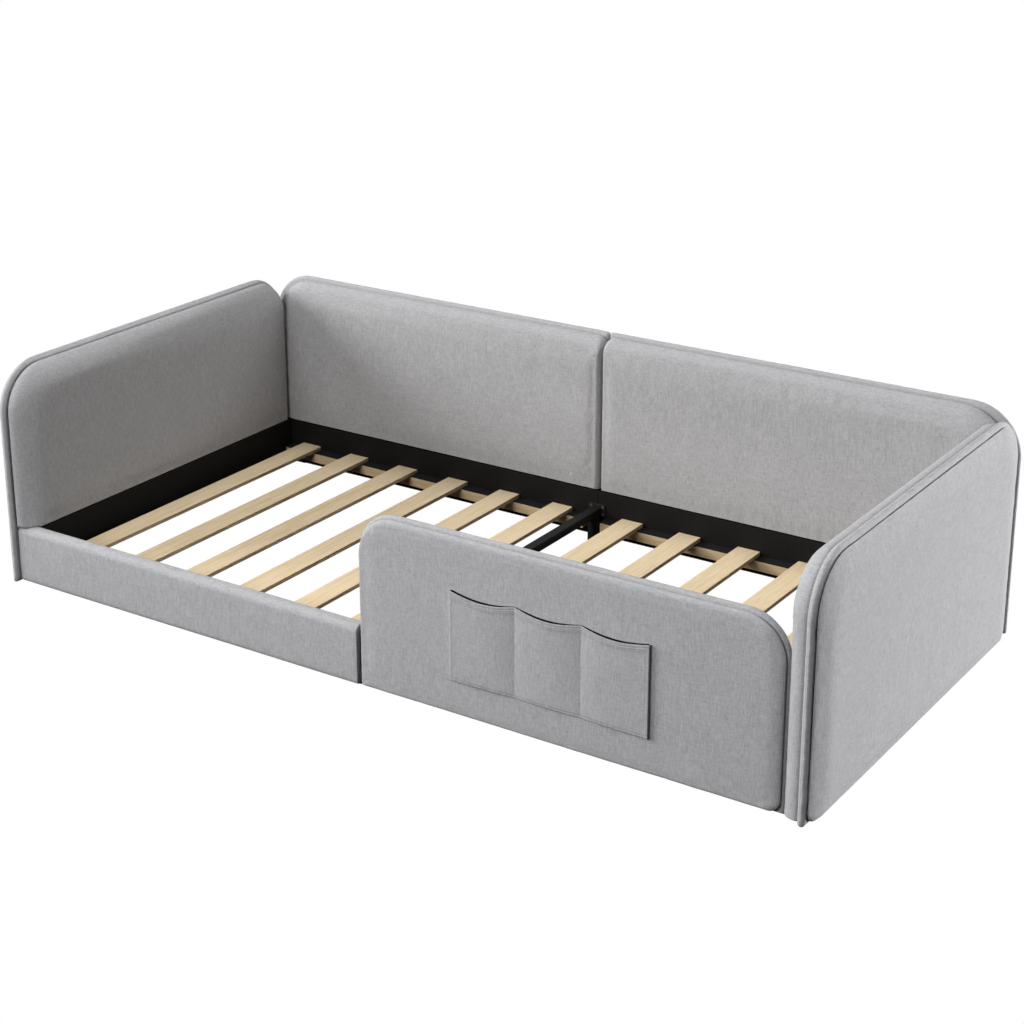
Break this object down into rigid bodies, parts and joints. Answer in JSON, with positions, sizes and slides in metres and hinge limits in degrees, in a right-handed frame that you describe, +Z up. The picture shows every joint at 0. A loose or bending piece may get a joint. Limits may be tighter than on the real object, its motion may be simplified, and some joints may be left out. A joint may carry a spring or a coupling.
{
  "type": "upholstered toddler bed",
  "caption": "Low padded toddler bed with rounded end, back and guard panels, a step-in gap at the front, slatted base and a pocket organiser on the guard.",
  "frame": {"origin": "centre of the bounding box's bottom face, on the floor", "axes": "+X along the length towards the guard's end, +Y towards the back panel, +Z up"},
  "size_m": [2.0618, 1.0244, 0.522],
  "materials": {
    "grey_fabric": "heathered grey woven upholstery",
    "black_board": "black laminated board",
    "birch": "clear lacquered birch with darker sawn edges",
    "black_felt": "charcoal felt",
    "black_steel": "satin black powder coat",
    "black_plastic": "black moulded plastic"
  },
  "bodies": {
    "root": {"left_core_board": "grey_fabric", "left_inner_pad": "grey_fabric", "left_outer_pad": "grey_fabric", "right_core_board": "grey_fabric", "right_inner_pad": "grey_fabric", "right_outer_pad": "grey_fabric", "back_core_board_left": "grey_fabric", "back_core_board_right": "grey_fabric", "back_inner_pad_left": "grey_fabric", "back_inner_pad_right": "grey_fabric", "back_outer_pad_left": "grey_fabric", "back_outer_pad_right": "grey_fabric", "step_rail_cover": "grey_fabric", "guard_core_board": "grey_fabric", "guard_front_pad": "grey_fabric", "guard_inner_pad": "grey_fabric", "pocket_panel": "grey_fabric", "inner_rail_left": "black_board", "inner_rail_right": "black_board", "inner_rail_back_left": "black_board", "inner_rail_back_right": "black_board", "inner_rail_front_left": "black_board", "inner_rail_front_right": "black_board", "step_rail_board": "black_board", "ledger_back_left": "birch", "ledger_back_right": "birch", "ledger_front_left": "birch", "ledger_front_right": "birch", "slat_01": "birch", "slat_02": "birch", "slat_03": "birch", "slat_04": "birch", "slat_05": "birch", "slat_06": "birch", "slat_07": "birch", "slat_08": "birch", "slat_09": "birch", "slat_10": "birch", "slat_11": "birch", "slat_12": "birch", "felt_strip_back_left": "black_felt", "felt_strip_back_right": "black_felt", "felt_strip_front_left": "black_felt", "felt_strip_front_right": "black_felt", "cross_bar": "black_steel", "cross_bar_plate_front": "black_steel", "cross_bar_plate_back": "black_steel", "leg_front": "black_steel", "leg_back": "black_steel", "corner_bracket_front_left": "black_steel", "corner_bracket_front_right": "black_steel", "corner_bracket_back_left": "black_steel", "corner_bracket_back_right": "black_steel", "leg_glide_front": "black_plastic", "leg_glide_back": "black_plastic"}
  },
  "joints": []
}
